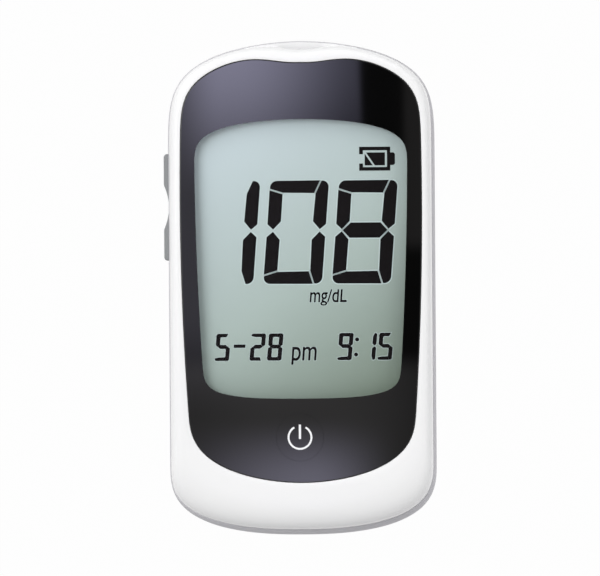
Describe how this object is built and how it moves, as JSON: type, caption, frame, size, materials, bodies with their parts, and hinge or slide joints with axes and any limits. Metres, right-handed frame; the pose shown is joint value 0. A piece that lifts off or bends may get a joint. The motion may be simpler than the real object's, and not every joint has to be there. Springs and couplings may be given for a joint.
{
  "type": "blood glucose meter",
  "caption": "Hand-held blood glucose meter: gloss shell, black panel over a segment display, test strip port, rocker side key, power key and hinged battery door.",
  "frame": {"origin": "on the flat back face, at the middle of the shell's length and of its width without the side key", "axes": "+Y towards the test strip port, +Z out of the display, +X to the right of a reader; the meter lies on its back"},
  "size_m": [0.0533, 0.097, 0.0181],
  "materials": {
    "white_shell": "gloss",
    "black_panel": "high gloss",
    "clear_window": "clear acrylic",
    "grey_key": "satin",
    "display_glass": "polished",
    "pale_plastic": "matte",
    "gold_plate": "plated",
    "board_green": "solder mask",
    "chip_black": "moulded",
    "capacitor_tan": "fired",
    "cell_wrap": "wrapped",
    "steel": "nickel plated"
  },
  "bodies": {
    "case": {"front_shell": "white_shell", "rear_shell": "white_shell", "front_panel": "black_panel", "display_window": "clear_window", "side_key_pin": "steel", "display_glass": "display_glass", "display_reflector": "pale_plastic", "display_holder": "pale_plastic", "display_pins": "gold_plate", "circuit_board": "board_green", "microcontroller": "chip_black", "memory_chip": "chip_black", "crystal": "steel", "capacitors": "capacitor_tan", "buzzer": "chip_black", "power_switch": "chip_black", "up_switch": "chip_black", "down_switch": "chip_black", "strip_guide": "pale_plastic", "strip_connector": "chip_black", "strip_contacts": "gold_plate", "battery_cells": "cell_wrap", "battery_springs": "steel", "battery_plates": "steel", "door_hinge_pin": "steel", "case_screws": "steel", "board_screws": "steel"},
    "power_key": {"power_key": "black_panel"},
    "power_plunger": {"power_plunger": "steel"},
    "side_key": {"side_key": "grey_key"},
    "up_plunger": {"up_plunger": "pale_plastic"},
    "down_plunger": {"down_plunger": "pale_plastic"},
    "battery_door": {"battery_door": "white_shell"}
  },
  "joints": [
    {"name": "power_key_press", "type": "slide", "parent": "case", "child": "power_key", "axis": [0, 0, -1], "range_m": [0, 0.0003], "stiffness_N_per_m": 5000},
    {"name": "power_plunger_press", "type": "slide", "parent": "case", "child": "power_plunger", "axis": [0, 0, -1], "range_m": [0, 0.0003]},
    {"name": "side_key_rock", "type": "hinge", "parent": "case", "child": "side_key", "pos_m": [-0.0222, 0.016, 0.00735], "axis": [0, 0, 1], "range_deg": [-2.2, 2.2], "stiffness_Nm_per_rad": 0.4},
    {"name": "up_plunger_press", "type": "slide", "parent": "case", "child": "up_plunger", "axis": [1, 0, 0], "range_m": [-0.0003, 0.0003]},
    {"name": "down_plunger_press", "type": "slide", "parent": "case", "child": "down_plunger", "axis": [1, 0, 0], "range_m": [-0.0003, 0.0003]},
    {"name": "battery_door_hinge", "type": "hinge", "parent": "case", "child": "battery_door", "pos_m": [0, 0.0106, 0.0013], "axis": [1, 0, 0], "range_deg": [0, 88]}
  ],
  "couplings": [
    {"joint": "power_plunger_press", "follows": "power_key_press", "ratio": 1},
    {"joint": "up_plunger_press", "follows": "side_key_rock", "m_per_rad": -0.0075},
    {"joint": "down_plunger_press", "follows": "side_key_rock", "m_per_rad": 0.0075}
  ]
}
